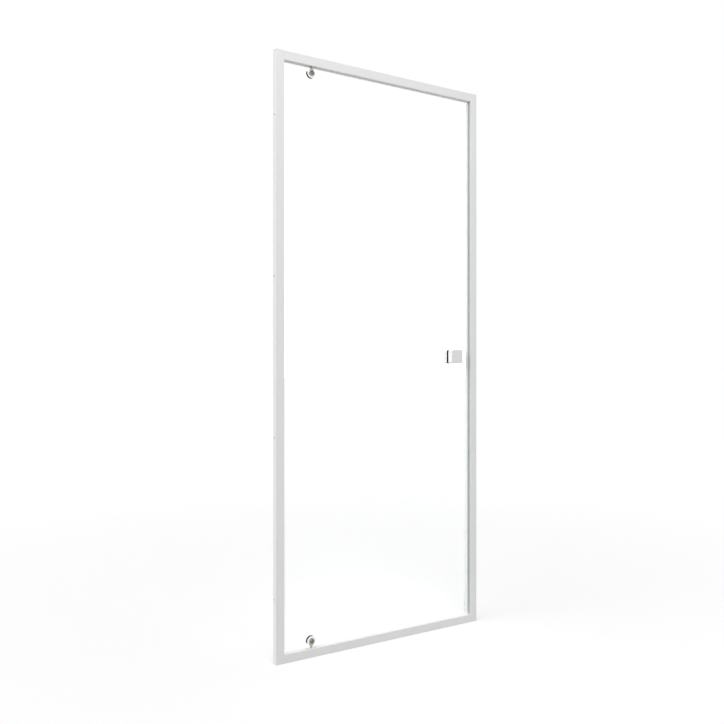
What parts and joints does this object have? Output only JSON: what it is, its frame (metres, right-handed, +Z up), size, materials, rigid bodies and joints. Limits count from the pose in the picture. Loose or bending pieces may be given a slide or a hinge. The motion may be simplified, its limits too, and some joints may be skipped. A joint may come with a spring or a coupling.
{
  "type": "shower door",
  "caption": "Framed pivot shower door: clear glass leaf on end pivots in a white frame, square knobs, magnetic closing seal and adjustable wall channels.",
  "frame": {"origin": "middle of the sill's underside, in the middle plane of the glass, where the frame stands on the tray", "axes": "+X from the hinge side to the strike side, -Y to the front (outside the shower), +Z up"},
  "size_m": [0.8, 0.051, 1.9],
  "materials": {
    "white_powder_coat": "white powder coat, satin",
    "white_plastic": "white moulded plastic",
    "white_knob_coat": "white coat on a zinc casting, satin",
    "glass": "clear toughened glass",
    "clear_seal": "clear flexible plastic",
    "grey_seal": "translucent grey plastic",
    "white_magnet": "white flexible magnet strip",
    "magnet": "flexible magnet strip",
    "nylon": "moulded nylon",
    "black_rubber": "matte",
    "chrome": "bright",
    "satin_zinc": "satin plated casting",
    "brass": "bright",
    "steel": "stainless"
  },
  "bodies": {
    "frame": {"hinge_jamb": "white_powder_coat", "strike_jamb": "white_powder_coat", "hinge_jamb_lid": "white_plastic", "strike_jamb_lid": "white_plastic", "head_rail": "white_powder_coat", "sill_rail": "white_powder_coat", "corner_screws": "steel", "top_pivot_block": "nylon", "top_pivot_bush": "nylon", "top_pivot_screws": "steel", "bottom_pivot_block": "nylon", "bottom_pivot_bush": "nylon", "bottom_pivot_screws": "steel", "hinge_jamb_bulb_seal": "clear_seal", "strike_strip_carrier": "grey_seal", "strike_strip_magnet": "magnet", "adjusting_screws": "steel", "clamp_nuts": "steel", "screw_domes": "white_plastic"},
    "hinge_wall_channel": {"hinge_wall_channel": "white_powder_coat"},
    "strike_wall_channel": {"strike_wall_channel": "white_powder_coat"},
    "door_leaf": {"door_glass": "glass", "hinge_edge_seal": "clear_seal", "strike_edge_seal": "clear_seal", "leaf_magnet": "white_magnet", "top_seal_hinge_side": "clear_seal", "top_seal_strike_side": "clear_seal", "drip_seal_hinge_side": "clear_seal", "drip_seal_strike_side": "clear_seal", "top_hinge_pad": "black_rubber", "top_hinge_disc": "chrome", "top_hinge_hub": "satin_zinc", "top_hinge_sleeve": "nylon", "top_hinge_back_gasket": "clear_seal", "top_hinge_back_plate": "chrome", "top_hinge_screw": "brass", "top_hinge_washer": "black_rubber", "top_hinge_pin": "steel", "bottom_hinge_pad": "black_rubber", "bottom_hinge_disc": "chrome", "bottom_hinge_hub": "satin_zinc", "bottom_hinge_sleeve": "nylon", "bottom_hinge_back_gasket": "clear_seal", "bottom_hinge_back_plate": "chrome", "bottom_hinge_screw": "brass", "bottom_hinge_washer": "black_rubber", "bottom_hinge_pin": "steel", "outer_knob": "white_knob_coat", "inner_knob": "white_knob_coat", "outer_knob_gasket": "black_rubber", "inner_knob_gasket": "black_rubber", "knob_sleeve": "nylon", "knob_stud": "steel", "knob_grub_screw": "steel"}
  },
  "joints": [
    {"name": "leaf_swing", "type": "hinge", "parent": "frame", "child": "door_leaf", "pos_m": [-0.272, -0.0068, 0.95], "axis": [0, 0, -1], "range_deg": [0, 100]},
    {"name": "hinge_channel_adjust", "type": "slide", "parent": "frame", "child": "hinge_wall_channel", "axis": [-1, 0, 0], "range_m": [0, 0.01]},
    {"name": "strike_channel_adjust", "type": "slide", "parent": "frame", "child": "strike_wall_channel", "axis": [1, 0, 0], "range_m": [0, 0.01]}
  ]
}
